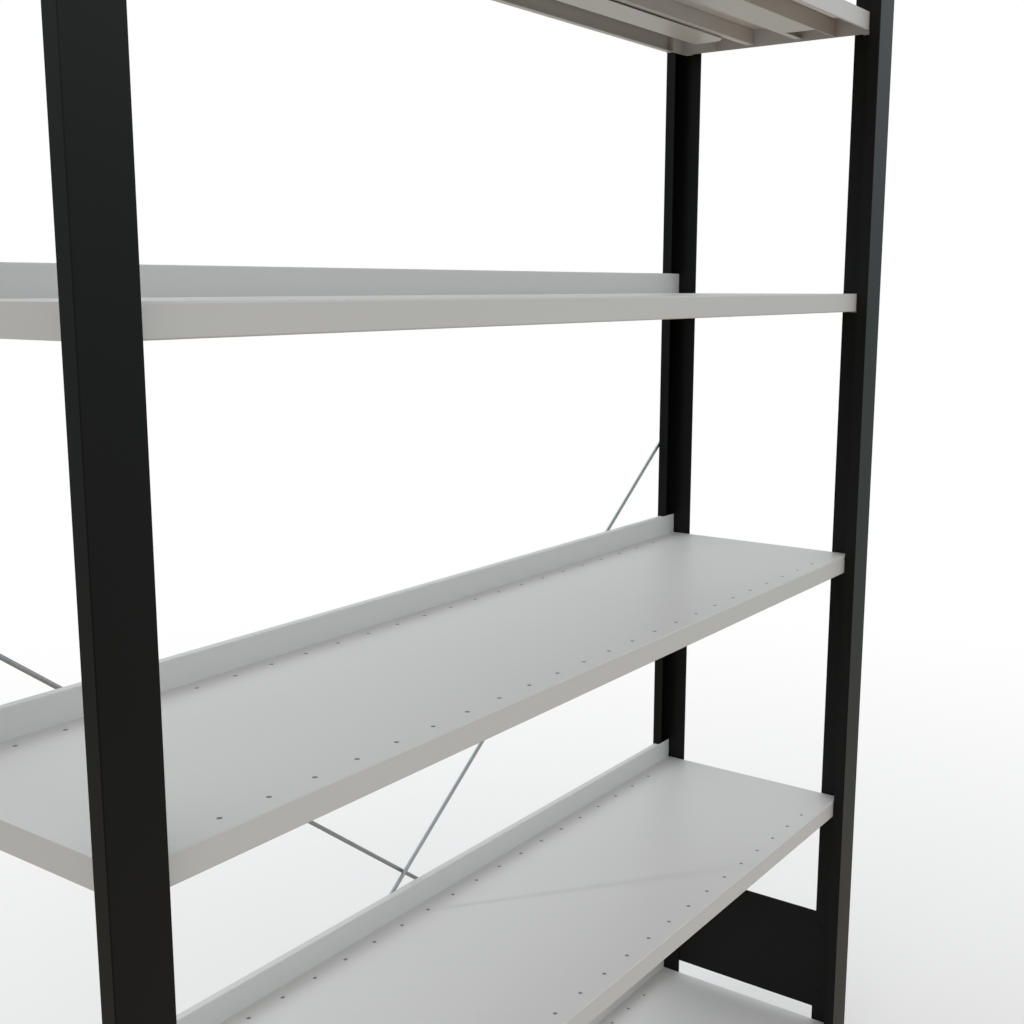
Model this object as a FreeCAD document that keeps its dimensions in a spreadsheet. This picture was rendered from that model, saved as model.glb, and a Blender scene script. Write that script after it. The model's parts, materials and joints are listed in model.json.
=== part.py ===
import FreeCAD, Part
import os
import re

import Sketcher

# Office shelving unit, in millimetres. X runs along the shelves, Y from front to rear and Z up.
# The origin is on the floor, in the middle of the unit.
#
# Two end frames stand at the ends of the bay. Each is a pair of T-section uprights joined by flat tie
# plates. Folded sheet-metal shelves hang between the frames on hook clips, and a cross brace of two
# tensioned rods stiffens the lower half of the back.

SIZES = [
    # Uprights and bay
    ("bay_pitch", 1300, "web centre to web centre of the two end frames"),
    ("frame_depth", 330, "over the outer faces of the front and rear flanges"),
    ("upright_height", 2000, "floor to the top of the uprights"),
    ("flange_width", 50, "face of the T that shows from the front"),
    ("return_depth", 15, "edges of the flange folded back"),
    ("web_depth", 45, "outer face of the flange to the free edge of the web"),
    ("upright_sheet", 1.5, "flange and returns"),
    ("web_thickness", 2, "stem of the T"),
    ("upright_corner", 1, "outside radius of the folded flange corners"),
    ("upright_inner_corner", 0.3, "inside radius of the folded flange corners"),
    # Shelves
    ("shelf_count", 6, "number of shelves"),
    ("first_shelf_top", 95, "floor to the top face of the lowest shelf"),
    ("shelf_pitch", 380, "from one shelf to the next"),
    ("top_shelf_drop", 35, "top of the uprights down to the top shelf"),
    ("shelf_sheet", 1, "shelf sheet metal"),
    ("shelf_edge_height", 25, "front edge and end flanges"),
    ("shelf_bend", 0.6, "inside radius of the shelf's folds"),
    ("front_return", 7, "lip under the front edge"),
    ("lip_end_gap", 130, "that lip cut back from each end of the shelf"),
    ("shelf_end_clearance", 1.5, "shelf end to web"),
    ("shelf_front_clearance", 1, "front edge to the ends of the front returns"),
    ("stop_height", 30, "rear stop above the shelf"),
    ("stop_depth", 10, "front to back of the rear stop"),
    ("stop_clearance", 1.4, "stop's front panel to the ends of the rear returns"),
    ("stop_notch_clearance", 10.5, "end of the box fold to the flange edge"),
    # Rows of holes along the shelf
    ("hole_pitch", 50, "between neighbouring holes"),
    ("hole_count", 23, "holes in a row"),
    ("hole_row_spacing", 260, "front row to rear row"),
    ("hole_diameter", 5, "each hole"),
    # Stiffening channels
    ("stiffener_width", 60, "outside, front to back"),
    ("stiffener_spacing", 126, "centre of the front channel to centre of the rear one"),
    ("stiffener_sheet", 1, "channel sheet metal"),
    ("stiffener_floor", 52, "floor, folded from the outer wall towards the inner one"),
    ("stiffener_lip", 10, "lip along the inner wall, turned in above the floor"),
    ("stiffener_step", 3, "underside of the floor to underside of the lip"),
    ("stiffener_end_gap", 0.5, "channel end to end flange"),
    ("floor_end_gap", 70, "floor cut back from each end of the channel"),
    ("floor_corner", 20, "rounded free corners of the floor"),
    # Hook clips
    ("clip_sheet", 1.2, "clip sheet metal"),
    ("clip_width", 10, "along the web"),
    ("clip_inset", 26.5, "outer face of the flange to the middle of the clip"),
    ("clip_ledge", 4.2, "web face to the inner face of the clip"),
    ("clip_lip_height", 3, "inner lip above the ledge"),
    ("clip_back_height", 17, "back above the ledge"),
    ("clip_hook_seat", 4, "lower edge of the slot above the ledge"),
    ("clip_hook_drop", 8, "hook below its seat"),
    ("clip_hook_play", 0.2, "hook to the outer face of the web"),
    ("slot_play", 0.4, "slot wider than the clip, over both sides"),
    ("slot_height", 10, "slot in the web"),
    # Tie plates and rivets
    ("plate_height", 162, "tie plate, bottom to top"),
    ("plate_sheet", 1.5, "tie plate"),
    ("plate_end_gap", 115, "floor to the lower plate, and top of the uprights to the upper one"),
    ("plate_overlap", 12, "plate over each web, beside its column of slots"),
    ("rivet_diameter", 5, "shank"),
    ("rivet_hole_play", 0.2, "hole wider than the shank"),
    ("rivet_inset", 25, "rivet to the plate's upper or lower edge"),
    ("rivet_edge", 6, "rivet to the free edge of the web"),
    ("rivet_head_diameter", 10, "both heads"),
    ("rivet_flat_head", 1, "head on the shelf side"),
    ("rivet_outer_head", 2, "head on the outer side"),
    # Cross brace
    ("rod_diameter", 5, "brace rod"),
    ("rod_clearance", 0.3, "rod to flange, and rod to rod where they cross"),
    ("brace_low", 26.5, "floor to the lower eyes"),
    ("brace_high", 1023, "floor to the upper eyes"),
    ("brace_inset", 12.5, "web centre to the eye bolts, inwards below and outwards above"),
    ("eye_width", 14, "flattened end of the rod"),
    ("eye_thickness", 2.5, "flattened end of the rod"),
    ("eye_flat_length", 12, "parallel part of the flattened end"),
    ("eye_taper_length", 14, "flattened end, from rod width to eye width"),
    ("sleeve_offset", 320, "middle of the unit to the tension sleeve, along X"),
    ("sleeve_length", 60, "tension sleeve"),
    ("sleeve_flats", 11, "tension sleeve across its flats"),
    ("sleeve_bore_play", 0.1, "sleeve bore wider than the rod"),
    ("rod_end_gap", 10, "between the rod ends inside the sleeve"),
    ("sight_hole_diameter", 4, "hole across the middle of the sleeve"),
    ("lock_nut_height", 4, "lock nut"),
    ("lock_nut_gap", 0.3, "sleeve end to lock nut"),
    ("lock_nut_flats", 9, "lock nut across its flats"),
    # Bolts and nuts of the brace and the feet
    ("bolt_diameter", 6, "shank"),
    ("bolt_hole_play", 0.4, "hole wider than the shank"),
    ("bolt_head_height", 4, "hexagon head"),
    ("bolt_flats", 10, "heads and nuts across their flats"),
    ("bolt_tail", 1.5, "bolt end past its nut"),
    ("nut_height", 5, "nut"),
    ("nut_bore_play", 0.1, "nut bore wider than the shank"),
    # Feet
    ("foot_sheet", 2.5, "foot plate"),
    ("foot_width", 58, "along X"),
    ("foot_front", 3, "foot past the outer face of the flange"),
    ("foot_length", 78, "front to back"),
    ("anchor_inset", 60, "outer face of the flange to the anchor hole"),
    ("anchor_diameter", 9, "hole for a floor anchor"),
    ("tab_height", 45, "floor to the top of the bolted tab"),
    ("tab_length", 30, "along the web"),
    ("tab_gap", 3, "tab to the free edge of the web"),
    ("foot_bolt_height", 26, "floor to the bolt through the tab"),
    # Caps
    ("cap_thickness", 3, "top plate of the cap"),
    ("cap_overhang", 0.6, "cap past the upright, all round"),
    ("cap_plug_length", 12, "plugs inside the flange"),
    ("cap_plug_play", 0.2, "plug to the walls round it"),
]

# Places that several pieces share, as formulas of the sizes above
WEB_FACE = "(bay_pitch - web_thickness) / 2"
SHELF_END = f"({WEB_FACE} - shelf_end_clearance)"
FLANGE_EDGE = "(bay_pitch - flange_width) / 2"
FLANGE_FACE = "(frame_depth / 2)"
RETURN_END = "(frame_depth / 2 - return_depth)"
WEB_EDGE = "(frame_depth / 2 - web_depth)"
SHELF_FRONT = f"(shelf_front_clearance - {RETURN_END})"
STOP_BACK = f"({RETURN_END} - stop_clearance)"
STOP_FACE = f"({STOP_BACK} - shelf_sheet)"
STOP_REAR = f"({STOP_FACE} + stop_depth)"
STIFFENER_DEPTH = "(shelf_edge_height - shelf_sheet)"
LOWER_PLATE = "plate_end_gap"
UPPER_PLATE = "(upright_height - plate_end_gap - plate_height)"
RIVET_FROM_FLANGE = "(web_depth - rivet_edge)"
LOW_EYE = "(bay_pitch / 2 - brace_inset)"
HIGH_EYE = "(bay_pitch / 2 + brace_inset)"
BRACE_RISE = "(brace_high - brace_low)"
BRACE_SPAN = f"({LOW_EYE} + {HIGH_EYE})"
BRACE_LENGTH = f"sqrt({BRACE_SPAN} ^ 2 + {BRACE_RISE} ^ 2)"
ROD_STEP = "(rod_diameter + rod_clearance)"
EYE_FACE = "(rod_diameter / 2 + rod_clearance)"
TAB_MIDDLE = "(web_depth - tab_gap - tab_length / 2)"

doc = FreeCAD.newDocument("OfficeShelving")
sheet = doc.addObject("Spreadsheet::Sheet", "Sizes")
for row, (alias, value, meaning) in enumerate(SIZES, start=1):
    sheet.set(f"A{row}", meaning)
    sheet.set(f"B{row}", str(value))
    sheet.setAlias(f"B{row}", alias)
doc.recompute()

ALIASES = {alias for alias, value, meaning in SIZES}
NODES = []


def linked(formula):
    """Point every size that a formula names at its cell in the sheet."""
    return re.sub(r"[a-z]\w*", lambda word: f"Sizes.{word[0]}" if word[0] in ALIASES else word[0], formula)


def size(formula):
    """Work a formula out as a number."""
    return float(sheet.evalExpression(linked(formula)))


def bind(thing, **formulas):
    """Tie properties of a document object to formulas."""
    for name, formula in formulas.items():
        thing.setExpression(name, linked(formula))


def node(thing, label):
    """Name a finished piece, so that it is checked and written under that name."""
    thing.Label = label
    NODES.append(thing)
    return thing


def place(thing, x="0", y="0", z="0", rotation=None):
    """Put a piece at a point given as formulas."""
    thing.Placement = FreeCAD.Placement(
        FreeCAD.Vector(size(x), size(y), size(z)),
        rotation or FreeCAD.Rotation(),
    )
    return thing


# Sketches and features


def origin_part(body, role):
    return next(part for part in body.Origin.OriginFeatures if part.Role == role)


def new_body(name):
    return doc.addObject("PartDesign::Body", name)


def new_sketch(body, name, role, offset="0"):
    sketch = body.newObject("Sketcher::SketchObject", name)
    sketch.AttachmentSupport = [(origin_part(body, role), "")]
    sketch.MapMode = "FlatFace"
    sketch.setExpression("AttachmentOffset.Base.z", linked(offset))
    return sketch


def dimension(sketch, formula, kind, *where):
    """Add one dimension to a sketch and tie it to a formula."""
    index = sketch.addConstraint(Sketcher.Constraint(kind, *where, size(formula)))
    sketch.setExpression(f"Constraints[{index}]", linked(formula))


def outline(sketch, corners, rounded=None):
    """Close a loop through corners, counter-clockwise, each a pair of formulas.

    rounded is the corner that starts a half circle to the next corner, which the loop takes instead of
    a straight line.
    """
    points = [FreeCAD.Vector(size(x), size(y), 0) for x, y in corners]
    first = sketch.GeometryCount
    count = len(corners)
    for i, start in enumerate(points):
        end = points[(i + 1) % count]
        edge = Part.LineSegment(start, end)
        if i == rounded:
            half = (end - start) / 2
            bulge = FreeCAD.Vector(half.y, -half.x, 0)
            edge = Part.Arc(start, start + half + bulge, end)
        sketch.addGeometry(edge, False)
    for i, (x, y) in enumerate(corners):
        following = first + (i + 1) % count
        sketch.addConstraint(Sketcher.Constraint("Coincident", first + i, 2, following, 1))
        dimension(sketch, x, "DistanceX", -1, 1, first + i, 1)
        dimension(sketch, y, "DistanceY", -1, 1, first + i, 1)
    if rounded is not None:
        dimension(sketch, corners[rounded][0], "DistanceX", -1, 1, first + rounded, 3)


def rectangle(sketch, left, right, low, high):
    outline(sketch, [(left, low), (right, low), (right, high), (left, high)])


def circle(sketch, x, y, diameter):
    centre = FreeCAD.Vector(size(x), size(y), 0)
    index = sketch.addGeometry(Part.Circle(centre, FreeCAD.Vector(0, 0, 1), size(diameter) / 2), False)
    dimension(sketch, x, "DistanceX", -1, 1, index, 3)
    dimension(sketch, y, "DistanceY", -1, 1, index, 3)
    dimension(sketch, diameter, "Diameter", index)


def pad(body, sketch, length, side="One side", down=False):
    feature = body.newObject("PartDesign::Pad", sketch.Name + "Pad")
    feature.Profile = sketch
    feature.SideType = side
    feature.Reversed = down
    bind(feature, Length=length)
    return feature


def cut_through(body, sketch):
    """Cut a sketch through the whole body, to both sides of its plane."""
    feature = body.newObject("PartDesign::Pocket", sketch.Name + "Cut")
    feature.Profile = sketch
    feature.SideType = "Symmetric"
    feature.Type = "ThroughAll"
    doc.recompute()
    before = feature.BaseFeature.Shape.Volume
    assert feature.Shape.Volume < before, f"{feature.Name} cuts nothing"
    return feature


def pocket(body, sketch, depth):
    """Cut a sketch down to a depth below its plane."""
    feature = body.newObject("PartDesign::Pocket", sketch.Name + "Pocket")
    feature.Profile = sketch
    bind(feature, Length=depth)
    return feature


def round_edges(body, feature, radius, axis, places):
    """Round the edges that run along an axis (0, 1 or 2) through places, given in the other two."""
    doc.recompute()
    others = [i for i in range(3) if i != axis]
    wanted = [[size(formula) for formula in spot] for spot in places]
    names = []
    for number, edge in enumerate(feature.Shape.Edges, start=1):
        ends = [[vertex.Point[i] for i in others] for vertex in edge.Vertexes]
        if any(all(abs(a - b) < 1e-4 for end in ends for a, b in zip(end, spot)) for spot in wanted):
            names.append(f"Edge{number}")
    assert len(names) >= len(places), f"{body.Name}: {len(names)} edges found for {len(places)} folds"
    fillet = body.newObject("PartDesign::Fillet", feature.Name + "Round")
    fillet.Base = (feature, names)
    bind(fillet, Radius=radius)
    return fillet


# Copies

LEFT_RIGHT = FreeCAD.Vector(1, 0, 0)
FRONT_REAR = FreeCAD.Vector(0, 1, 0)


def mirrored(source, name, normal):
    """A copy on the other side of the unit's middle plane."""
    copy = doc.addObject("Part::Mirroring", name)
    copy.Source = source
    copy.Normal = normal
    return copy


def at_all_corners(source, name):
    """The front right piece with its copies at the other three corners."""
    left = mirrored(source, name + "FrontLeft", LEFT_RIGHT)
    right_rear = mirrored(source, name + "RearRight", FRONT_REAR)
    left_rear = mirrored(left, name + "RearLeft", FRONT_REAR)
    return [source, left, right_rear, left_rear]


def grouped(pieces, label):
    group = doc.addObject("Part::Compound", label)
    group.Links = pieces
    return node(group, label)


CORNERS = ("front_right", "front_left", "rear_right", "rear_left")


def four_nodes(source, label):
    for piece, corner in zip(at_all_corners(source, label), CORNERS):
        node(piece, f"{label}_{corner}")


# Uprights


def shelf_top(level):
    """Height of a shelf's top face; the last shelf hangs just below the top of the uprights."""
    if level == int(size("shelf_count")):
        return "(upright_height - top_shelf_drop)"
    return f"(first_shelf_top + {level - 1} * shelf_pitch)"


def levels():
    return range(1, int(size("shelf_count")) + 1)


def upright(name, braced):
    """A T-section upright, seen from above with its flange in front and its web behind."""
    body = new_body(name)
    profile = new_sketch(body, name + "Profile", "XY_Plane", "foot_sheet")
    half, web, wall = "flange_width / 2", "web_thickness / 2", "upright_sheet"
    right = [
        (half, "0"),
        (half, "return_depth"),
        (f"{half} - {wall}", "return_depth"),
        (f"{half} - {wall}", wall),
        (web, wall),
        (web, "web_depth"),
    ]
    left = [(f"-({x})", y) for x, y in reversed(right)]
    outline(profile, right + left)
    feature = pad(body, profile, "upright_height - foot_sheet")
    outer = [(half, "0"), (f"-{half}", "0")]
    inner = [(f"{half} - {wall}", wall), (f"{wall} - {half}", wall)]
    feature = round_edges(body, feature, "upright_corner", 2, outer)
    round_edges(body, feature, "upright_inner_corner", 2, inner)

    slots = new_sketch(body, name + "Slots", "YZ_Plane")
    half_slot = "(clip_width + slot_play) / 2"
    for level in levels():
        seat = f"{shelf_top(level)} - shelf_edge_height + clip_hook_seat"
        slot_start, slot_end = f"clip_inset - {half_slot}", f"clip_inset + {half_slot}"
        rectangle(slots, slot_start, slot_end, seat, f"{seat} + slot_height")
    cut_through(body, slots)

    holes = new_sketch(body, name + "WebHoles", "YZ_Plane")
    for plate in (LOWER_PLATE, UPPER_PLATE):
        for height in ("rivet_inset", "plate_height - rivet_inset"):
            circle(holes, RIVET_FROM_FLANGE, f"{plate} + {height}", "rivet_diameter + rivet_hole_play")
    circle(holes, TAB_MIDDLE, "foot_bolt_height", "bolt_diameter + bolt_hole_play")
    cut_through(body, holes)

    if braced:
        eyes = new_sketch(body, name + "BraceHoles", "XZ_Plane")
        for side, height in (("", "brace_low"), ("-", "brace_high")):
            circle(eyes, f"{side}brace_inset", height, "bolt_diameter + bolt_hole_play")
        cut_through(body, eyes)
    return body


half_turn = FreeCAD.Rotation(FreeCAD.Vector(0, 0, 1), 180)
front = place(upright("FrontUpright", braced=False), "bay_pitch / 2", f"-{FLANGE_FACE}")
node(front, "upright_front_right")
node(mirrored(front, "FrontLeftUpright", LEFT_RIGHT), "upright_front_left")
rear = place(upright("RearUpright", braced=True), "bay_pitch / 2", FLANGE_FACE, rotation=half_turn)
node(rear, "upright_rear_right")
node(mirrored(rear, "RearLeftUpright", LEFT_RIGHT), "upright_rear_left")


# Shelves


def tray(level):
    """One folded sheet: top, front edge with its lip, end flanges, and the box fold of the rear stop.

    The box fold ends beside the rear uprights. The end flanges turn in there, below the front panel of the
    stop, and then back along the end of the box, to close the corners.
    """
    name = f"Tray{level}"
    body = new_body(name)
    wall, drop, rise = "shelf_sheet", "-shelf_edge_height", "stop_height"
    section = new_sketch(body, name + "Section", "YZ_Plane")
    outline(section, [
        (SHELF_FRONT, "0"),
        (SHELF_FRONT, drop),
        (f"{SHELF_FRONT} + front_return", drop),
        (f"{SHELF_FRONT} + front_return", f"{drop} + {wall}"),
        (f"{SHELF_FRONT} + {wall}", f"{drop} + {wall}"),
        (f"{SHELF_FRONT} + {wall}", f"-{wall}"),
        (STOP_BACK, f"-{wall}"),
        (STOP_BACK, f"{rise} - {wall}"),
        (f"{STOP_REAR} - {wall}", f"{rise} - {wall}"),
        (f"{STOP_REAR} - {wall}", f"{drop} + {wall}"),
        (STOP_FACE, f"{drop} + {wall}"),
        (STOP_FACE, drop),
        (STOP_REAR, drop),
        (STOP_REAR, rise),
        (STOP_FACE, rise),
        (STOP_FACE, "0"),
    ])
    pad(body, section, f"2 * {SHELF_END}", side="Symmetric")

    notch = f"({FLANGE_EDGE} - stop_notch_clearance)"
    flange_inside = f"({SHELF_END} - {wall})"
    right = [
        (flange_inside, SHELF_FRONT),
        (SHELF_END, SHELF_FRONT),
        (SHELF_END, STOP_BACK),
        (notch, STOP_BACK),
        (notch, STOP_REAR),
        (f"{notch} - {wall}", STOP_REAR),
        (f"{notch} - {wall}", STOP_FACE),
        (flange_inside, STOP_FACE),
    ]
    left = [(f"-({x})", y) for x, y in reversed(right)]
    ends = new_sketch(body, name + "Ends", "XY_Plane")
    outline(ends, right)
    outline(ends, left)
    feature = pad(body, ends, "shelf_edge_height", down=True)

    outside = [
        (SHELF_FRONT, "0"),
        (SHELF_FRONT, drop),
        (STOP_FACE, rise),
        (STOP_REAR, rise),
        (STOP_REAR, drop),
    ]
    inside = [
        (f"{SHELF_FRONT} + {wall}", f"-{wall}"),
        (f"{SHELF_FRONT} + {wall}", f"{drop} + {wall}"),
        (STOP_FACE, "0"),
        (STOP_BACK, f"{rise} - {wall}"),
        (f"{STOP_REAR} - {wall}", f"{rise} - {wall}"),
        (f"{STOP_REAR} - {wall}", f"{drop} + {wall}"),
    ]
    feature = round_edges(body, feature, "shelf_bend + shelf_sheet", 0, outside)
    round_edges(body, feature, "shelf_bend", 0, inside)

    lip = new_sketch(body, name + "LipEnds", "XY_Plane", f"{drop} + {wall}")
    lip_end, lip_fold = f"({SHELF_END} - lip_end_gap)", f"{SHELF_FRONT} + {wall} + shelf_bend"
    rectangle(lip, lip_end, flange_inside, lip_fold, f"{SHELF_FRONT} + front_return")
    rectangle(lip, f"-{flange_inside}", f"-{lip_end}", lip_fold, f"{SHELF_FRONT} + front_return")
    pocket(body, lip, wall)

    notches = new_sketch(body, name + "Notches", "XY_Plane")
    past_end, past_rear = f"({SHELF_END} + stop_depth)", f"{STOP_REAR} + stop_depth"
    rectangle(notches, notch, past_end, STOP_BACK, past_rear)
    rectangle(notches, f"-{past_end}", f"-{notch}", STOP_BACK, past_rear)
    cut_through(body, notches)

    row_length = "(hole_count - 1) * hole_pitch"
    holes = new_sketch(body, name + "Holes", "XY_Plane")
    for side in ("-", ""):
        circle(holes, f"-{row_length} / 2", f"{side}hole_row_spacing / 2", "hole_diameter")
    first = cut_through(body, holes)
    rows = body.newObject("PartDesign::LinearPattern", name + "Rows")
    rows.Originals = [first]
    rows.Direction = (origin_part(body, "X_Axis"), [""])
    bind(rows, Length=row_length, Occurrences="hole_count")
    body.Tip = rows
    return place(body, z=shelf_top(level))


def stiffener(level, side):
    """A channel of folded sheet under the shelf, with its floor turned in from the outer wall.

    The inner wall has a narrow lip that reaches over the floor's free edge. The floor stops short of both ends,
    where its free corners are rounded.
    """
    name = f"Stiffener{level}{side.title()}"
    body = new_body(name)
    half, wall, low = "stiffener_width / 2", "stiffener_sheet", f"-{STIFFENER_DEPTH}"
    free_edge, lip_low = f"({half} - stiffener_floor)", f"({low} + stiffener_step)"
    section = new_sketch(body, name + "Section", "YZ_Plane")
    outline(section, [
        (half, low),
        (half, "0"),
        (f"-{half}", "0"),
        (f"-{half}", lip_low),
        (f"stiffener_lip - {half}", lip_low),
        (f"stiffener_lip - {half}", f"{lip_low} + {wall}"),
        (f"{wall} - {half}", f"{lip_low} + {wall}"),
        (f"{wall} - {half}", f"-{wall}"),
        (f"{half} - {wall}", f"-{wall}"),
        (f"{half} - {wall}", f"{low} + {wall}"),
        (free_edge, f"{low} + {wall}"),
        (free_edge, low),
    ])
    length = f"({SHELF_END} - shelf_sheet - stiffener_end_gap)"
    feature = pad(body, section, f"2 * {length}", side="Symmetric")
    folds = [(half, low), (half, "0"), (f"-{half}", "0"), (f"-{half}", lip_low)]
    round_edges(body, feature, wall, 0, folds)

    ends = new_sketch(body, name + "FloorEnds", "XY_Plane", f"{low} + {wall}")
    floor_end = f"({length} - floor_end_gap)"
    rectangle(ends, floor_end, length, free_edge, f"{half} - {wall}")
    rectangle(ends, f"-{length}", f"-{floor_end}", free_edge, f"{half} - {wall}")
    feature = pocket(body, ends, wall)
    corners = [(floor_end, free_edge), (f"-{floor_end}", free_edge)]
    round_edges(body, feature, "floor_corner", 2, corners)
    side_sign, turn = ("-", half_turn) if side == "front" else ("", None)
    return place(body, "0", f"{side_sign}stiffener_spacing / 2", f"{shelf_top(level)} - shelf_sheet", turn)


for level in levels():
    node(tray(level), f"shelf_{level}_tray")
    for side in ("front", "rear"):
        node(stiffener(level, side), f"shelf_{level}_stiffener_{side}")


# Hook clips


def clip(level):
    """A strip folded into a saddle for the shelf's end flange, with a hook through the web's slot."""
    name = f"Clip{level}"
    body = new_body(name)
    wall, seat = "clip_sheet", "clip_hook_seat"
    hook_inner = "(web_thickness + clip_hook_play)"
    section = new_sketch(body, name + "Section", "XZ_Plane")
    outline(section, [
        ("0", f"-{wall}"),
        ("0", seat),
        (hook_inner, seat),
        (hook_inner, f"{seat} - clip_hook_drop"),
        (f"{hook_inner} + {wall}", f"{seat} - clip_hook_drop"),
        (f"{hook_inner} + {wall}", f"{seat} + {wall}"),
        ("0", f"{seat} + {wall}"),
        ("0", "clip_back_height"),
        (f"-{wall}", "clip_back_height"),
        (f"-{wall}", "0"),
        (f"{wall} - clip_ledge", "0"),
        (f"{wall} - clip_ledge", "clip_lip_height"),
        ("-clip_ledge", "clip_lip_height"),
        ("-clip_ledge", f"-{wall}"),
    ])
    pad(body, section, "clip_width", side="Symmetric")
    return place(body, WEB_FACE, f"clip_inset - {FLANGE_FACE}", f"{shelf_top(level)} - shelf_edge_height")


for level in levels():
    grouped(at_all_corners(clip(level), f"Clip{level}"), f"shelf_{level}_clips")


# Tie plates and their rivets


def tie_plate(name, low):
    """A flat plate on the outer side of the two webs of an end frame."""
    body = new_body(name)
    half = f"({WEB_EDGE} + plate_overlap)"
    face = new_sketch(body, name + "Face", "YZ_Plane")
    rectangle(face, f"-{half}", half, "0", "plate_height")
    for height in ("rivet_inset", "plate_height - rivet_inset"):
        for side in ("-", ""):
            circle(face, f"{side}({WEB_EDGE} + rivet_edge)", height, "rivet_diameter + rivet_hole_play")
    pad(body, face, "plate_sheet")
    return place(body, "(bay_pitch + web_thickness) / 2", z=low)


def rivet(name, height):
    """Flat head on the shelf side of the web, shank through web and plate, thicker head outside."""
    body = new_body(name)
    grip = "(web_thickness + plate_sheet)"
    for part, start, diameter, length in (
        ("Flat", "-rivet_flat_head", "rivet_head_diameter", "rivet_flat_head"),
        ("Shank", "0", "rivet_diameter", grip),
        ("Outer", grip, "rivet_head_diameter", "rivet_outer_head"),
    ):
        section = new_sketch(body, name + part, "YZ_Plane", start)
        circle(section, "0", "0", diameter)
        feature = pad(body, section, length)
    doc.recompute()
    rim = [
        f"Edge{number}"
        for number, edge in enumerate(feature.Shape.Edges, start=1)
        if abs(edge.BoundBox.XMin - feature.Shape.BoundBox.XMax) < 1e-4
    ]
    crown = body.newObject("PartDesign::Fillet", name + "Crown")
    crown.Base = (feature, rim)
    bind(crown, Radius="0.6 * rivet_outer_head")
    return place(body, WEB_FACE, f"-({WEB_EDGE} + rivet_edge)", height)


rivets = []
for plate, low in (("lower", LOWER_PLATE), ("upper", UPPER_PLATE)):
    right_plate = tie_plate(plate.title() + "Plate", low)
    node(right_plate, f"tie_plate_right_{plate}")
    node(mirrored(right_plate, plate.title() + "LeftPlate", LEFT_RIGHT), f"tie_plate_left_{plate}")
    for place_name, height in (("Low", "rivet_inset"), ("High", "plate_height - rivet_inset")):
        name = f"Rivet{plate.title()}{place_name}"
        rivets += at_all_corners(rivet(name, f"{low} + {height}"), name)
grouped(rivets, "tie_plate_rivets")


# Hexagon nuts, bolts and sleeves, each along its own Z axis


def hexagon(name, flats, height):
    prism = doc.addObject("Part::Prism", name)
    prism.Polygon = 6
    bind(prism, Circumradius=f"{flats} / sqrt(3)", Height=height)
    return prism


def cylinder(name, diameter, height):
    round_bar = doc.addObject("Part::Cylinder", name)
    bind(round_bar, Radius=f"({diameter}) / 2", Height=height)
    return round_bar


def nut(name, flats, height, bore):
    ring = doc.addObject("Part::Cut", name)
    ring.Base = hexagon(name + "Hexagon", flats, height)
    ring.Tool = cylinder(name + "Bore", bore, height)
    return ring


def bolt(name, grip):
    """Head below zero, shank above, long enough for its grip, a nut and the tail past it."""
    shaped = doc.addObject("Part::Fuse", name)
    head = hexagon(name + "Head", "bolt_flats", "bolt_head_height")
    shaped.Base = place(head, z="-bolt_head_height")
    shaped.Tool = cylinder(name + "Shank", "bolt_diameter", f"{grip} + nut_height + bolt_tail")
    return shaped


def bolt_nut(name):
    return nut(name, "bolt_flats", "nut_height", "bolt_diameter + nut_bore_play")


# Feet


def foot():
    """A floor plate with an anchor hole and a tab that is bolted to the outer side of the web."""
    body = new_body("Foot")
    floor_plate = new_sketch(body, "FootPlate", "XY_Plane")
    rectangle(floor_plate, "-foot_width / 2", "foot_width / 2", "-foot_front", "foot_length - foot_front")
    circle(floor_plate, "0", "anchor_inset", "anchor_diameter")
    pad(body, floor_plate, "foot_sheet")
    tab = new_sketch(body, "FootTab", "YZ_Plane", "web_thickness / 2")
    half = "tab_length / 2"
    rectangle(tab, f"{TAB_MIDDLE} - {half}", f"{TAB_MIDDLE} + {half}", "0", "tab_height")
    pad(body, tab, "foot_sheet")
    hole = new_sketch(body, "FootBoltHole", "YZ_Plane")
    circle(hole, TAB_MIDDLE, "foot_bolt_height", "bolt_diameter + bolt_hole_play")
    cut_through(body, hole)
    return place(body, "bay_pitch / 2", f"-{FLANGE_FACE}")


four_nodes(foot(), "foot")

inward = FreeCAD.Rotation(FreeCAD.Vector(0, 1, 0), -90)
bolt_y = f"{TAB_MIDDLE} - {FLANGE_FACE}"
tab_outside = "(bay_pitch + web_thickness) / 2 + foot_sheet"
foot_bolt = bolt("FootBolt", "(web_thickness + foot_sheet)")
place(foot_bolt, tab_outside, bolt_y, "foot_bolt_height", inward)
grouped(at_all_corners(foot_bolt, "FootBolt"), "foot_bolts")
foot_nut = place(bolt_nut("FootNut"), WEB_FACE, bolt_y, "foot_bolt_height", inward)
grouped(at_all_corners(foot_nut, "FootNut"), "foot_nuts")


# Caps


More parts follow.
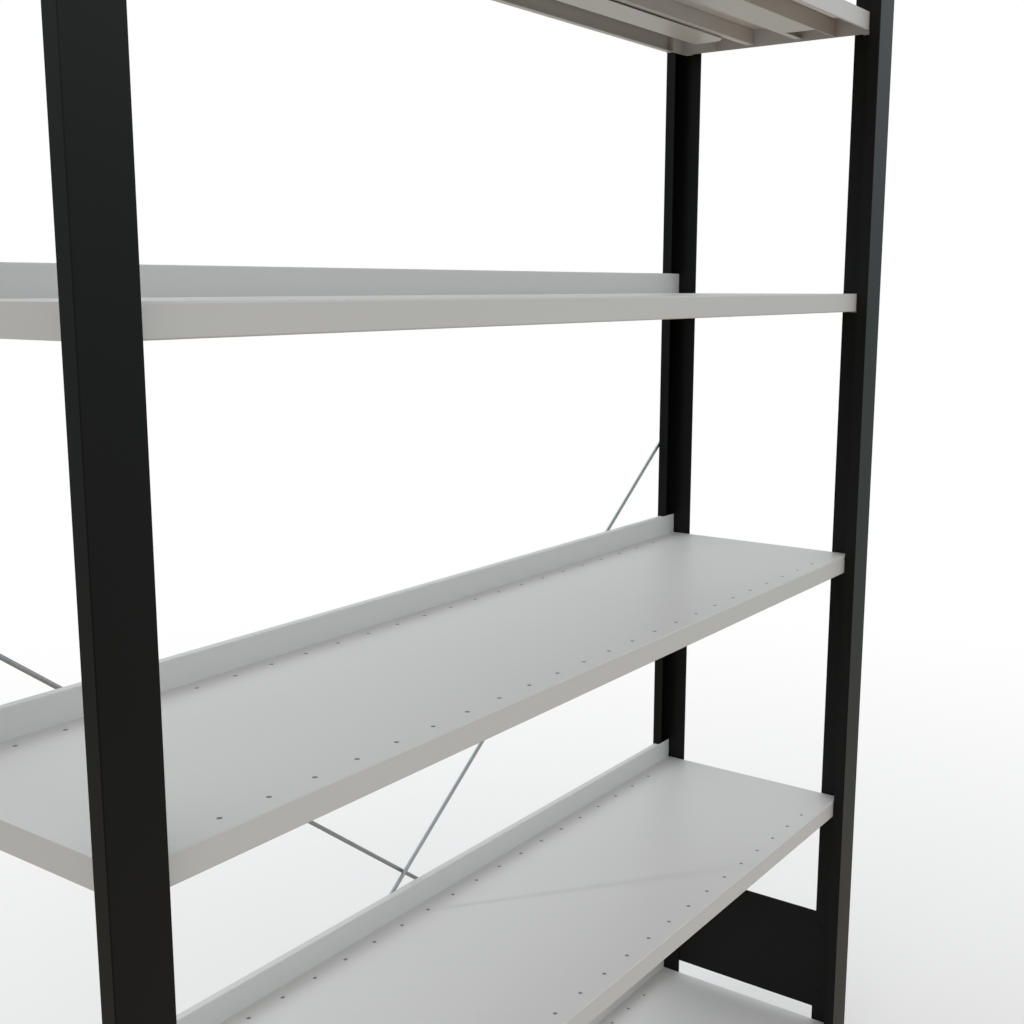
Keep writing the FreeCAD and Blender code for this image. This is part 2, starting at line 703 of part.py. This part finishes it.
def cap():
    """A moulded cap: a T-shaped top with two plugs that fit between the web and the returns."""
    body = new_body("Cap")
    over = "cap_overhang"
    top = new_sketch(body, "CapTop", "XY_Plane")
    right = [
        (f"flange_width / 2 + {over}", f"-{over}"),
        (f"flange_width / 2 + {over}", f"return_depth + {over}"),
        (f"web_thickness / 2 + {over}", f"return_depth + {over}"),
        (f"web_thickness / 2 + {over}", f"web_depth + {over}"),
    ]
    left = [(f"-({x})", y) for x, y in reversed(right)]
    outline(top, right + left)
    pad(body, top, "cap_thickness")
    plugs = new_sketch(body, "CapPlugs", "XY_Plane")
    near = "(web_thickness / 2 + cap_plug_play)"
    far = "(flange_width / 2 - upright_sheet - cap_plug_play)"
    front_side, back_side = "upright_sheet + upright_inner_corner + cap_plug_play", "return_depth"
    rectangle(plugs, near, far, front_side, back_side)
    rectangle(plugs, f"-{far}", f"-{near}", front_side, back_side)
    pad(body, plugs, "cap_plug_length", down=True)
    return place(body, "bay_pitch / 2", f"-{FLANGE_FACE}", "upright_height")


four_nodes(cap(), "cap")


# Cross brace

slope = FreeCAD.Vector(size(BRACE_SPAN), 0, size(BRACE_RISE)).normalize()
HALF_REACH = {
    "lower": f"({BRACE_LENGTH} * ({LOW_EYE} + sleeve_offset) / {BRACE_SPAN})",
    "upper": f"({BRACE_LENGTH} * ({HIGH_EYE} - sleeve_offset) / {BRACE_SPAN})",
}


def brace_half(name, reach):
    """A rod along X from the middle of its sleeve to a flattened eye, which faces along Z."""
    body = new_body(name)
    taper_start = f"({reach} - eye_flat_length - eye_taper_length)"
    round_section = new_sketch(body, name + "Rod", "YZ_Plane", "rod_end_gap / 2")
    circle(round_section, "0", "0", "rod_diameter")
    pad(body, round_section, f"{taper_start} + eye_taper_length - rod_end_gap / 2")
    flat = new_sketch(body, name + "Eye", "XY_Plane", f"{EYE_FACE} - eye_thickness")
    full, slim = "(eye_width / 2)", "(rod_diameter / 2)"
    outline(flat, [
        (reach, f"-{full}"),
        (reach, full),
        (f"{reach} - eye_flat_length", full),
        (taper_start, slim),
        (taper_start, f"-{slim}"),
        (f"{reach} - eye_flat_length", f"-{full}"),
    ], rounded=0)
    circle(flat, reach, "0", "bolt_diameter + bolt_hole_play")
    pad(body, flat, "eye_thickness")
    return body


def along(direction):
    """Turn X along a direction in the plane of the brace, with Z facing the flanges."""
    facing = FreeCAD.Vector(0, -1, 0)
    return FreeCAD.Rotation(direction, facing.cross(direction), facing, "XYZ")


forward = FreeCAD.Rotation(FreeCAD.Vector(1, 0, 0), 90)
lock_nuts, brace_bolts, brace_nuts, spacers = [], [], [], []
for letter, lean, spacing in (("a", 1, "0"), ("b", -1, ROD_STEP)):
    rise = FreeCAD.Vector(lean * slope.x, 0, slope.z)
    axis_y = f"{FLANGE_FACE} + {spacing} + {EYE_FACE}"
    sleeve_x = f"{lean} * sleeve_offset"
    sleeve_z = f"brace_low + ({LOW_EYE} + sleeve_offset) * {BRACE_RISE} / {BRACE_SPAN}"
    centre = FreeCAD.Vector(size(sleeve_x), size(axis_y), size(sleeve_z))

    for part, direction in (("lower", -rise), ("upper", rise)):
        half = brace_half(f"Brace{letter.upper()}{part.title()}", HALF_REACH[part])
        half.Placement = FreeCAD.Placement(centre, along(direction))
        node(half, f"brace_{letter}_{part}_rod")

    sleeve_turn = FreeCAD.Rotation(FreeCAD.Vector(0, 0, 1), rise)
    name = f"Sleeve{letter.upper()}"
    blank = nut(name + "Blank", "sleeve_flats", "sleeve_length", "rod_diameter + sleeve_bore_play")
    sight = cylinder(name + "Sight", "sight_hole_diameter", "2 * sleeve_flats")
    place(sight, y="sleeve_flats", z="sleeve_length / 2", rotation=forward)
    sleeve = doc.addObject("Part::Cut", name)
    sleeve.Base = blank
    sleeve.Tool = sight
    sleeve.Placement = FreeCAD.Placement(centre - rise * size("sleeve_length / 2"), sleeve_turn)
    node(sleeve, f"brace_{letter}_tension_sleeve")

    for part, start in (
        ("Low", "-sleeve_length / 2 - lock_nut_gap - lock_nut_height"),
        ("High", "sleeve_length / 2 + lock_nut_gap"),
    ):
        name = f"LockNut{letter.upper()}{part}"
        lock_nut = nut(name, "lock_nut_flats", "lock_nut_height", "rod_diameter + nut_bore_play")
        lock_nut.Placement = FreeCAD.Placement(centre + rise * size(start), sleeve_turn)
        lock_nuts.append(lock_nut)

    for part, x, z in (
        ("Low", f"-{lean} * {LOW_EYE}", "brace_low"),
        ("High", f"{lean} * {HIGH_EYE}", "brace_high"),
    ):
        tag = letter.upper() + part
        grip = f"(upright_sheet + {spacing} + eye_thickness)"
        eye_bolt = bolt("EyeBolt" + tag, grip)
        brace_bolts.append(place(eye_bolt, x, f"{FLANGE_FACE} + {spacing} + eye_thickness", z, forward))
        eye_nut = bolt_nut("EyeNut" + tag)
        brace_nuts.append(place(eye_nut, x, f"{FLANGE_FACE} - upright_sheet", z, forward))
        if letter == "b":
            spacer = doc.addObject("Part::Cut", "Spacer" + part)
            spacer.Base = cylinder(f"Spacer{part}Outside", "eye_width", ROD_STEP)
            spacer.Tool = cylinder(f"Spacer{part}Bore", "bolt_diameter + bolt_hole_play", ROD_STEP)
            spacers.append(place(spacer, x, f"{FLANGE_FACE} + {ROD_STEP}", z, forward))

grouped(lock_nuts, "brace_lock_nuts")
grouped(brace_bolts, "brace_bolts")
grouped(brace_nuts, "brace_nuts")
grouped(spacers, "brace_spacers")


# Every object is checked before anything is written

doc.recompute()
for thing in doc.Objects:
    faults = {"Invalid", "Error"} & set(thing.State)
    assert not faults, f"{thing.Name} is {faults}"
os.makedirs("parts", exist_ok=True)
for piece in NODES:
    shape = piece.Shape
    assert not shape.isNull() and shape.isValid(), f"{piece.Label} has no valid shape"
for piece in NODES:
    piece.Shape.exportStep(f"parts/{piece.Label}.step")
    print(f"{piece.Label}: {len(piece.Shape.Solids)} solids, {piece.Shape.Volume / 1000:.1f} cm3")
print(f"{len(NODES)} nodes")
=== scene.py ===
# %% [markdown]
# # An office shelving bay
# The real object is an open bay of steel shelving: two black end frames, pale grey folded shelves that hang
# between them, and a cross brace of thin plated rods behind. Every solid already has its true size in the CAD
# model, so this lesson loads those solids as a fixed frame and adds what CAD leaves out: the finishes, the
# rolled threads of the brace, the plugs in the shelf holes, a floor, the light and a camera. Drawing the
# sheet metal again here would only make a second set of sizes that could drift away from the first.

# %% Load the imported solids
import json
import math

import bpy
from mathutils import Matrix, Vector


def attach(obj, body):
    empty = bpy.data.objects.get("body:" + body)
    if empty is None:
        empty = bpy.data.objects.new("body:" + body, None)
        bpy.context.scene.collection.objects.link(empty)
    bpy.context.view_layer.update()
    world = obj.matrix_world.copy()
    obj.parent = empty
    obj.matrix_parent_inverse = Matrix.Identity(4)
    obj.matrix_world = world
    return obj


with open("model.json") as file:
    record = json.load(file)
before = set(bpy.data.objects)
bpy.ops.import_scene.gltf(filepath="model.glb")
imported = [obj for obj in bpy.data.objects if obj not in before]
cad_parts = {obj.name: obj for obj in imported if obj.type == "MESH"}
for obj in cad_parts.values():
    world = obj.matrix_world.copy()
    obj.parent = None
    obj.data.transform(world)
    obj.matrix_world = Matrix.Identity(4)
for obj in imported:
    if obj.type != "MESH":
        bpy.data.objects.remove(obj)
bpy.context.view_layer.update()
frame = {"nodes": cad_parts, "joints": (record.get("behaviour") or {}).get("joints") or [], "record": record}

# %% [markdown]
# ## Shader sums as plain Python
# A finish is a small sum: a little noise times a strength, plus a base value. Blender writes such sums as
# chains of Math nodes, which are slow to read and easy to wire wrongly. The class below wraps one output
# socket, so that `0.4 + 0.1 * grain` builds the same chain. Colours and vectors take other nodes than plain
# numbers do, because a Math node would turn a colour grey.


# %% A socket that can be used in sums
def join(value, socket):
    """Link a wire to a socket, or set the socket to a value."""
    if isinstance(value, Wire):
        socket.id_data.links.new(value.socket, socket)
    elif socket.type == "VECTOR" and isinstance(value, (int, float)):
        socket.default_value = (value, value, value)
    else:
        socket.default_value = value


def lay_stops(ramp, stops):
    """Give a colour ramp its stops, each a place from 0 to 1 and a colour."""
    while len(ramp.elements) < len(stops):
        ramp.elements.new(1.0)
    for element, (place, colour) in zip(ramp.elements, stops):
        element.position = place
        element.color = (*colour, 1.0)


class Wire:
    """One output socket of a node; sums and products of wires add the nodes that work them out."""

    def __init__(self, socket):
        self.socket = socket

    def node(self, kind, settings=None, sockets=None, output=0):
        """Add a node to the same tree: first its settings, then the values or links of its sockets."""
        made = self.socket.id_data.nodes.new(kind)
        for name, value in (settings or {}).items():
            if name == "stops":
                lay_stops(made.color_ramp, value)
            else:
                setattr(made, name, value)
        for name, value in (sockets or {}).items():
            join(value, made.inputs[name])
        return Wire(made.outputs[output])

    def sum_node(self, operation, first, second):
        kind = "ShaderNodeVectorMath" if self.socket.type == "VECTOR" else "ShaderNodeMath"
        return self.node(kind, {"operation": operation}, {0: first, 1: second})

    def __add__(self, other):
        return self.sum_node("ADD", self, other)

    def __radd__(self, other):
        return self.sum_node("ADD", other, self)

    def __sub__(self, other):
        return self.sum_node("SUBTRACT", self, other)

    def __rsub__(self, other):
        return self.sum_node("SUBTRACT", other, self)

    def __mul__(self, other):
        return self.sum_node("MULTIPLY", self, other)

    def __rmul__(self, other):
        return self.sum_node("MULTIPLY", other, self)

    def colour(self, low, high):
        """A colour that runs from low to high as this wire runs from 0 to 1."""
        ends = {0: self, 6: (*low, 1.0), 7: (*high, 1.0)}
        return self.node("ShaderNodeMix", {"data_type": "RGBA"}, ends, output=2)

    def noise(self, size, detail=2.0):
        """Soft noise over this place, in patches of about this size in metres."""
        return self.node("ShaderNodeTexNoise", None, {"Vector": self, "Scale": 1 / size, "Detail": detail})

    def dents(self, depth):
        """A bent normal, as if this height from 0 to 1 were that many metres deep."""
        return self.node("ShaderNodeBump", None, {"Strength": 1.0, "Distance": depth, "Height": self})


# %% A bare material to start a finish from
def bare_material(name, **fixed):
    """A material with one shader; fixed sets sockets that are the same all over. Returns it all."""
    material = bpy.data.materials.new(name)
    material.use_nodes = True
    tree = material.node_tree
    tree.nodes.clear()
    output = tree.nodes.new("ShaderNodeOutputMaterial")
    shader = tree.nodes.new("ShaderNodeBsdfPrincipled")
    tree.links.new(shader.outputs["BSDF"], output.inputs["Surface"])
    for socket, value in fixed.items():
        shader.inputs[socket.replace("_", " ")].default_value = value
    place = Wire(tree.nodes.new("ShaderNodeTexCoord").outputs["Object"])
    return material, shader.inputs, place


# %% [markdown]
# ## Black powder coat
# The end frames are powder coated: dry paint is melted on in an oven and sets with a very fine ripple, like
# orange peel. An even black would look like a hole in the picture, so the ripple goes in as bumps a fraction
# of a millimetre deep, and the gloss drifts a little over larger patches where the coat came out thicker.

# %% Powder coat of the uprights, tie plates and feet
MM = 0.001


def black_powder_coat():
    material, shader, place = bare_material("black_powder_coat", IOR=1.25)
    ripple = place.noise(0.9 * MM)
    thick = place.noise(180 * MM)
    shade = 0.5 * ripple + 0.5 * thick
    join(shade.colour((0.0055, 0.0057, 0.0056), (0.0085, 0.0088, 0.0086)), shader["Base Color"])
    join(0.28 + 0.08 * thick + 0.04 * ripple, shader["Roughness"])
    join(ripple.dents(0.012 * MM), shader["Normal"])
    return material


frame_coat = black_powder_coat()
print(frame_coat.name, len(frame_coat.node_tree.nodes), "nodes")

# %% [markdown]
# ## Pale grey shelf coat
# The shelves have a smoother coat in a very light, slightly cool grey, with a satin gloss that carries soft
# images of the bright room. A matt and a mirror shader could be mixed for it, but one principled shader holds
# both in its roughness. Only the gloss and a trace of ripple change over the sheet; the colour stays close to
# even, as a new coat does.


# %% Satin coat of the trays, their stiffening channels and the hook clips
def pale_shelf_coat():
    material, shader, place = bare_material("pale_shelf_coat", IOR=1.5)
    ripple = place.noise(1.4 * MM)
    sweep = place.noise(260 * MM)
    shade = 0.3 * ripple + 0.7 * sweep
    join(shade.colour((0.595, 0.600, 0.595), (0.630, 0.635, 0.630)), shader["Base Color"])
    join(0.34 + 0.08 * sweep + 0.04 * ripple, shader["Roughness"])
    join(ripple.dents(0.004 * MM), shader["Normal"])
    return material


shelf_coat = pale_shelf_coat()
print(shelf_coat.name, len(shelf_coat.node_tree.nodes), "nodes")

# %% [markdown]
# ## Bright zinc plating
# The brace rods, sleeves, bolts and nuts are plated with zinc. Plating follows the drawn wire below it, so it
# is a dull mirror with fine scratches and faint clouds where the bath left it greyer. A metallic shader with
# two sizes of noise in its roughness gives that; no picture of metal is needed.


# %% Zinc of the brace and the fasteners
def zinc_plating():
    material, shader, place = bare_material("zinc_plating", Metallic=1.0)
    scratch = place.noise(0.6 * MM, detail=4.0)
    cloud = place.noise(14 * MM)
    join((0.4 * scratch + 0.6 * cloud).colour((0.30, 0.32, 0.325), (0.46, 0.48, 0.485)), shader["Base Color"])
    join(0.28 + 0.22 * cloud + 0.08 * scratch, shader["Roughness"])
    join(scratch.dents(0.01 * MM), shader["Normal"])
    return material


zinc = zinc_plating()
print(zinc.name, len(zinc.node_tree.nodes), "nodes")

# %% [markdown]
# ## Moulded cap plastic
# The caps that close the tops of the uprights are moulded in black plastic, from a tool with a fine spark
# grain. The grain scatters the light and keeps the caps duller than the painted steel. At half a millimetre
# it is too fine to model, so it is a bump.


# %% Plastic of the four caps
def moulded_cap_plastic():
    material, shader, place = bare_material("moulded_cap_plastic", IOR=1.48)
    grain = place.noise(0.5 * MM, detail=3.0)
    flow = place.noise(30 * MM)
    shade = 0.6 * grain + 0.4 * flow
    join(shade.colour((0.008, 0.008, 0.008), (0.018, 0.018, 0.018)), shader["Base Color"])
    join(0.5 + 0.18 * grain, shader["Roughness"])
    join(grain.dents(0.03 * MM), shader["Normal"])
    return material


cap_plastic = moulded_cap_plastic()
print(cap_plastic.name, len(cap_plastic.node_tree.nodes), "nodes")

# %% [markdown]
# ## Dress the CAD pieces
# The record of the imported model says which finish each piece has. Reading it here, and not a list of names,
# means that a piece which is added in CAD later gets its finish without a change to this file.

# %% Put each finish on its pieces
finish_of_slot = {
    "frame_paint": frame_coat,
    "shelf_paint": shelf_coat,
    "zinc": zinc,
    "cap_plastic": cap_plastic,
}
for part in frame["record"]["subparts"]:
    for slot in frame["nodes"][part["node"]].material_slots:
        slot.material = finish_of_slot[part["material_slot"]]
used_slots = [part["material_slot"] for part in frame["record"]["subparts"]]
print({name: used_slots.count(name) for name in finish_of_slot})

# %% [markdown]
# ## Rolled threads on the brace rods
# Each brace rod is two halves that screw into a hexagonal sleeve, so a length of thread shows beyond each
# lock nut. A rolled thread stands a little proud of the plain rod. It could be a bump texture, but its ridges
# catch the light at their own angle, so it is a real ridge: a small triangle carried round on a screw line.

# %% A ridge that winds along a rod
ROD_RADIUS = 2.5 * MM
RIDGE_HEIGHT = 0.16 * MM
ROOT_DEPTH = 0.05 * MM
THREAD_PITCH = 0.8 * MM
RIDGE_HALF_WIDTH = 0.3 * THREAD_PITCH
POINTS_PER_TURN = 24
NUT_OUTER_FACE = 34.4 * MM
THREAD_END = 58 * MM


def thread_ridge(name, start, direction, length):
    """Wind a triangular ridge round a rod from start along direction."""
    turned = direction.to_track_quat("Z", "Y").to_matrix().to_4x4()
    steps = round(length / THREAD_PITCH * POINTS_PER_TURN)
    corners, faces = [], []
    for step in range(steps + 1):
        angle = math.tau * step / POINTS_PER_TURN
        height = THREAD_PITCH * step / POINTS_PER_TURN
        fade = min(1.0, step / POINTS_PER_TURN, (steps - step) / POINTS_PER_TURN)
        outward = Vector((math.cos(angle), math.sin(angle), 0))
        crest = (RIDGE_HEIGHT * fade, 0.0)
        for rise, shift in ((-ROOT_DEPTH, -RIDGE_HALF_WIDTH), crest, (-ROOT_DEPTH, RIDGE_HALF_WIDTH)):
            corners.append(outward * (ROD_RADIUS + rise) + Vector((0, 0, height + shift)))
    for step in range(steps):
        here, there = 3 * step, 3 * step + 3
        for edge in range(3):
            after = (edge + 1) % 3
            faces.append((here + edge, there + edge, there + after, here + after))
    faces.append((2, 1, 0))
    faces.append((3 * steps, 3 * steps + 1, 3 * steps + 2))
    mesh = bpy.data.meshes.new(name)
    mesh.from_pydata(corners, [], faces)
    mesh.transform(Matrix.Translation(start) @ turned)
    mesh.materials.append(zinc)
    ridge = bpy.data.objects.new(name, mesh)
    bpy.context.scene.collection.objects.link(ridge)
    return ridge


# %% Four threaded lengths, two beside each sleeve
sleeve_joints = {joint["child"]: joint for joint in frame["joints"] if joint["child"].startswith("sleeve_")}
for sleeve, joint in sleeve_joints.items():
    centre = Vector(joint["pos_m"])
    for side, sign in (("upper", 1), ("lower", -1)):
        along = Vector(joint["axis"]).normalized() * sign
        name = f"rod_thread_{sleeve[-1]}_{side}"
        ridge = thread_ridge(name, centre + along * NUT_OUTER_FACE, along, THREAD_END - NUT_OUTER_FACE)
        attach(ridge, "frame")
        print(ridge.name, len(ridge.data.polygons), "faces")

# %% [markdown]
# ## Plugs in the divider holes
# Two rows of holes along each shelf take clip-in dividers. In the photograph they are grey dots from every
# side, so something closes them: small push-in plugs. One plug is turned like a lathe part, from a shallow
# dish inside a raised rim, and sits just below the paint; the rest are copies of it, one mesh to a shelf. The
# plugs' dark grey is painted shade: it stands in for the shade inside the holes.

# %% One plug, turned from its half section
HOLE_PITCH = 50 * MM
HOLES_IN_ROW = 23
ROW_SPACING = 260 * MM
STOP_HEIGHT = 30 * MM
PLUG_SIDES = 16
PLUG_SECTION = [(1.5, -0.6), (2.2, -0.25), (2.45, -0.25), (2.45, -1.8), (1.5, -1.8)]


def plug_painted_shade():
    material, shader, place = bare_material("plug_painted_shade", IOR=1.45)
    grain = place.noise(0.4 * MM, detail=3.0)
    # Painted shade: this dark grey stands in for the shade inside the holes that the plugs close.
    join(grain.colour((0.17, 0.17, 0.165), (0.25, 0.25, 0.24)), shader["Base Color"])
    join(0.55 + 0.15 * grain, shader["Roughness"])
    return material


def add_plug(corners, faces, middle):
    """Turn the half section round a vertical line through middle, and close its top and bottom."""
    first = len(corners)
    count = len(PLUG_SECTION)
    for side in range(PLUG_SIDES):
        angle = math.tau * side / PLUG_SIDES
        outward = Vector((math.cos(angle), math.sin(angle), 0))
        for radius, height in PLUG_SECTION:
            corners.append(middle + MM * (radius * outward + Vector((0, 0, height))))
    starts = [first + count * side for side in range(PLUG_SIDES)]
    for here, there in zip(starts, starts[1:] + starts[:1]):
        for step in range(count - 1):
            faces.append((here + step, here + step + 1, there + step + 1, there + step))
    faces.append(starts)
    faces.append([start + count - 1 for start in reversed(starts)])


# %% A set of plugs for each shelf
plug_shade_paint = plug_painted_shade()
for name, tray in frame["nodes"].items():
    if not name.endswith("_tray"):
        continue
    shelf = name.removesuffix("_tray")
    top = max(corner[2] for corner in tray.bound_box) - STOP_HEIGHT
    corners, faces = [], []
    for row in (-ROW_SPACING / 2, ROW_SPACING / 2):
        for hole in range(HOLES_IN_ROW):
            along = HOLE_PITCH * (hole - (HOLES_IN_ROW - 1) / 2)
            add_plug(corners, faces, Vector((along, row, top)))
    mesh = bpy.data.meshes.new(shelf + "_plugs")
    mesh.from_pydata(corners, [], faces)
    mesh.materials.append(plug_shade_paint)
    plugs = bpy.data.objects.new(shelf + "_plugs", mesh)
    bpy.context.scene.collection.objects.link(plugs)
    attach(plugs, shelf)
    print(plugs.name, len(faces), "faces, top of the shelf at", round(top, 4), "m")

# %% [markdown]
# ## Floor and backdrop
# The photograph has a white studio: the floor runs into the background with no corner, and only the soft
# shade round the unit tells them apart. The floor is a wide disc whose shade counts near the unit and which
# glows an even white further out, where a wide dome of the same white takes over. Both are there for the
# camera alone, so that the light on the shelves comes from the room of the next step and not from a glowing
# floor.

# %% A floor that fades into white
FLOOR_RADIUS = 30.0
FADE_START = 0.7
FADE_END = 3.7


def for_camera_alone(thing):
    """Show a thing to the camera, and let every other ray pass through it."""
    thing.visible_diffuse = False
    thing.visible_glossy = False
    thing.visible_transmission = False
    thing.visible_volume_scatter = False
    thing.visible_shadow = False


def white_floor_paint():
    material, shader, place = bare_material("white_floor_paint", Roughness=0.9)
    tree = material.node_tree
    output = tree.nodes["Material Output"]
    speck = place.noise(3 * MM)
    join(speck.colour((0.81, 0.80, 0.80), (0.83, 0.82, 0.82)), shader["Base Color"])
    distance = place.node("ShaderNodeVectorMath", {"operation": "LENGTH"}, {0: place}, output=1)
    fade = place.node(
        "ShaderNodeMapRange",
        {"interpolation_type": "SMOOTHSTEP"},
        {"Value": distance, "From Min": FADE_START, "From Max": FADE_END},
    )
    glow = place.node("ShaderNodeEmission", None, {"Color": (1.0, 1.0, 1.0, 1.0), "Strength": 1.0})
    paint = Wire(tree.nodes["Principled BSDF"].outputs["BSDF"])
    mixed = place.node("ShaderNodeMixShader", None, {0: 1.0 - fade, 1: glow, 2: paint})
    join(mixed, output.inputs["Surface"])
    return material


bpy.ops.mesh.primitive_circle_add(vertices=96, radius=FLOOR_RADIUS, fill_type="NGON")
floor = bpy.context.object
floor.name = "studio_floor"
floor.data.materials.append(white_floor_paint())
for_camera_alone(floor)
print(floor.name, "radius", FLOOR_RADIUS, "m")


# %% A white dome behind everything
def white_backdrop_paint():
    material, _, place = bare_material("white_backdrop_paint")
    glow = place.node("ShaderNodeEmission", None, {"Color": (1.0, 1.0, 1.0, 1.0), "Strength": 1.0})
    join(glow, material.node_tree.nodes["Material Output"].inputs["Surface"])
    return material


bpy.ops.mesh.primitive_uv_sphere_add(segments=64, ring_count=32, radius=FLOOR_RADIUS)
backdrop = bpy.context.object
backdrop.name = "studio_backdrop"
backdrop.data.materials.append(white_backdrop_paint())
for_camera_alone(backdrop)
print(backdrop.name, len(backdrop.data.polygons), "faces")

# %% [markdown]
# ## Room light
# Every face mirrors another part of the room, the black ones most clearly, so together they tell how it was
# lit. Seen by the photographer there are soft lamps low behind and to the right, higher ones ahead and to the
# left, little light at eye level, and a warm brown ground that tints the undersides. The lamps at the sides
# are a little bluer. Four colour ramps over the height of the view direction, one to a wall, give that room
# with no lamps to place and no picture of a room to load.

# %% Each wall as a ramp from the ground to the ceiling
ROOM_STRENGTH = 2.0
EYE_LEVEL_RED = 0.8
GROUND = (0.30, 0.21, 0.145)
CEILING = (0.33, 0.33, 0.33)


def wall(eye_level, low_lamps, high_lamps, tint):
    """Stops of a ramp up one wall, from its three shares of the room's strength and its lamps' tint."""
    return [
        (0.00, GROUND),
        (0.50, (EYE_LEVEL_RED * eye_level, eye_level, eye_level)),
        (0.70, tuple(low_lamps * channel for channel in tint)),
        (0.85, tuple(high_lamps * channel for channel in tint)),
        (1.00, CEILING),
    ]


WALLS = {
    "behind": wall(eye_level=0.00, low_lamps=0.96, high_lamps=0.48, tint=(1.04, 1.00, 1.00)),
    "right": wall(eye_level=0.23, low_lamps=0.92, high_lamps=0.00, tint=(0.96, 1.00, 1.04)),
    "ahead": wall(eye_level=0.32, low_lamps=0.22, high_lamps=0.85, tint=(0.98, 1.00, 0.98)),
    "left": wall(eye_level=0.20, low_lamps=0.33, high_lamps=0.83, tint=(0.94, 1.00, 1.04)),
}

# %% Blend the four walls round the unit
AHEAD = (0.81, 0.59, 0.0)
RIGHT = (0.59, -0.81, 0.0)
HARD_SWITCH = 1000.0
room = bpy.data.worlds.new("soft_room")
bpy.context.scene.world = room
room.use_nodes = True
room_tree = room.node_tree
room_tree.nodes.clear()
view = Wire(room_tree.nodes.new("ShaderNodeTexCoord").outputs["Generated"])
height = view.node("ShaderNodeSeparateXYZ", None, {0: view}, output=2)
level = view.node("ShaderNodeVectorMath", {"operation": "NORMALIZE"}, {0: view * (1.0, 1.0, 0.0)})
lit = {
    name: view.node("ShaderNodeValToRGB", {"stops": stops}, {0: 0.5 + 0.5 * height})
    for name, stops in WALLS.items()
}


def share(side):
    """How far the view turns to a side: 1 straight at it, 0 across, -1 away from it."""
    return view.node("ShaderNodeVectorMath", {"operation": "DOT_PRODUCT"}, {0: level, 1: side}, output=1)


def blend(part, first, second):
    """The first colour where part is 0 or less, the second where it is 1 or more."""
    return view.node("ShaderNodeMix", {"data_type": "RGBA"}, {0: part, 6: first, 7: second}, output=2)


ahead, right = share(AHEAD), share(RIGHT)
end_walls = blend(HARD_SWITCH * ahead, lit["behind"], lit["ahead"])
side_walls = blend(HARD_SWITCH * right, lit["left"], lit["right"])
room_colour = blend(ahead * ahead, side_walls, end_walls)
glow = view.node("ShaderNodeBackground", None, {"Color": room_colour, "Strength": ROOM_STRENGTH})
room_output = room_tree.nodes.new("ShaderNodeOutputWorld")
join(glow, room_output.inputs["Surface"])
print(room.name, len(WALLS), "walls", len(room_tree.nodes), "nodes")

# %% [markdown]
# ## Light from behind
# A thin dark line on the second shelf is the shadow of one brace rod, from a lamp straight behind the unit
# and 45 degrees up. The other rod leaves none, so this lamp is long and narrow and lies in one plane with the
# first rod: every length of it throws that shadow on the same line, while the other rod's is spread out and
# lost. A round lamp would draw both.

# %% A strip lamp in one plane with the rod
STRIP_DISTANCE = 8.0
STRIP_LENGTH = 10.0
STRIP_WIDTH = 0.25
STRIP_POWER = 120.0
rod = sleeve_joints["sleeve_a"]
to_strip = Vector((0, 1, 1)).normalized()
across = to_strip.cross(Vector(rod["axis"])).normalized()
rear_lamp = bpy.data.lights.new("rear_lamp", "AREA")
rear_lamp.shape = "RECTANGLE"
rear_lamp.size = STRIP_LENGTH
rear_lamp.size_y = STRIP_WIDTH
rear_lamp.energy = STRIP_POWER
strip = bpy.data.objects.new("rear_lamp", rear_lamp)
strip_turn = Matrix((across.cross(to_strip), across, to_strip)).transposed().to_4x4()
strip.matrix_world = Matrix.Translation(Vector(rod["pos_m"]) + STRIP_DISTANCE * to_strip) @ strip_turn
strip.visible_camera = False
bpy.context.scene.collection.objects.link(strip)
print(strip.name, "hangs at", [round(v, 2) for v in strip.matrix_world.translation])

# %% [markdown]
# ## Camera
# The camera was found from the photograph: the rows of holes are 50 mm apart, which fixes the lens, the place
# and the turn of the camera all at once. It stands in front of the unit and past its left end, a little
# above the middle, and looks down slightly.

# %% Stand the camera where the photograph was taken
CAMERA_PLACE = Vector((-1.1514, -0.8353, 1.2447))
CAMERA_FORWARD = Vector((0.79724, 0.57835, -0.17299))
CAMERA_UP = Vector((0.1399, 0.1018, 0.9849))
SENSOR_WIDTH = 36.0
LENS = 45.08
lens = bpy.data.cameras.new("photo_camera")
lens.sensor_width = SENSOR_WIDTH
lens.lens = LENS
lens.clip_end = 100.0
camera = bpy.data.objects.new("photo_camera", lens)
backward = -CAMERA_FORWARD.normalized()
sideways = CAMERA_UP.cross(backward).normalized()
upward = backward.cross(sideways)
turn = Matrix((sideways, upward, backward)).transposed().to_4x4()
camera.matrix_world = Matrix.Translation(CAMERA_PLACE) @ turn
bpy.context.scene.collection.objects.link(camera)
bpy.context.scene.camera = camera
bpy.context.scene.view_settings.view_transform = "Standard"
print(camera.name, "lens", LENS, "mm")
